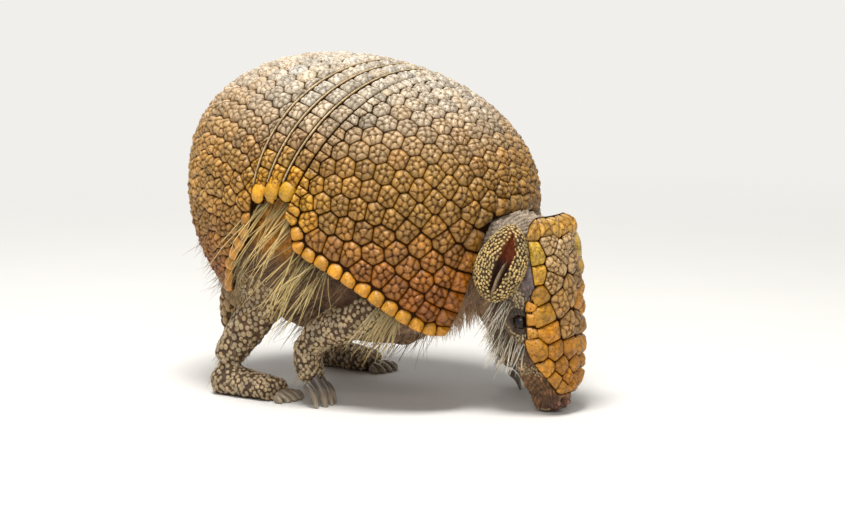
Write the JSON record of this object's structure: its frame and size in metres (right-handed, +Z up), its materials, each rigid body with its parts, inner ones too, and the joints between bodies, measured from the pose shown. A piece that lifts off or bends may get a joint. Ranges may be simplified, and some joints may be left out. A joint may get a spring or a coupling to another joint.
{
  "type": "three-banded armadillo",
  "caption": "Life-size three-banded armadillo standing with its nose to the ground: domed shell of shields and bands, head shield, cupped ears, short legs and tail.",
  "frame": {"origin": "on the floor, under the middle of the model's bounding box", "axes": "+X towards the head, +Y to the animal's left, +Z up"},
  "size_m": [0.1724, 0.1138, 0.1342],
  "materials": {
    "scute": "horny plates, ochre brown with yellow margins, satin",
    "skin": "wrinkled skin with sparse hair, matte",
    "scales": "small knobbly scales, satin",
    "horn": "claw horn, semi-gloss",
    "eye": "wet, glossy"
  },
  "bodies": {
    "root": {"scapular_shield": "scute", "pelvic_shield": "scute", "band_1": "scute", "band_2": "scute", "band_3": "scute", "head_shield": "scute", "trunk": "skin", "neck": "skin", "head": "skin", "jaw": "skin", "ear_right": "skin", "ear_left": "skin", "eye_right": "eye", "eye_left": "eye", "tail": "scales", "upper_arm_right": "scales", "forearm_right": "scales", "forefoot_right": "scales", "thigh_right": "scales", "shank_right": "scales", "hindfoot_right": "scales", "upper_arm_left": "scales", "forearm_left": "scales", "forefoot_left": "scales", "thigh_left": "scales", "shank_left": "scales", "hindfoot_left": "scales", "fore_claw_right_1": "horn", "fore_claw_right_2": "horn", "fore_claw_right_3": "horn", "fore_claw_right_4": "horn", "fore_claw_left_1": "horn", "fore_claw_left_2": "horn", "fore_claw_left_3": "horn", "fore_claw_left_4": "horn", "hind_claw_right_1": "horn", "hind_claw_right_2": "horn", "hind_claw_right_3": "horn", "hind_claw_right_4": "horn", "hind_claw_right_5": "horn", "hind_claw_left_1": "horn", "hind_claw_left_2": "horn", "hind_claw_left_3": "horn", "hind_claw_left_4": "horn", "hind_claw_left_5": "horn"}
  },
  "joints": []
}
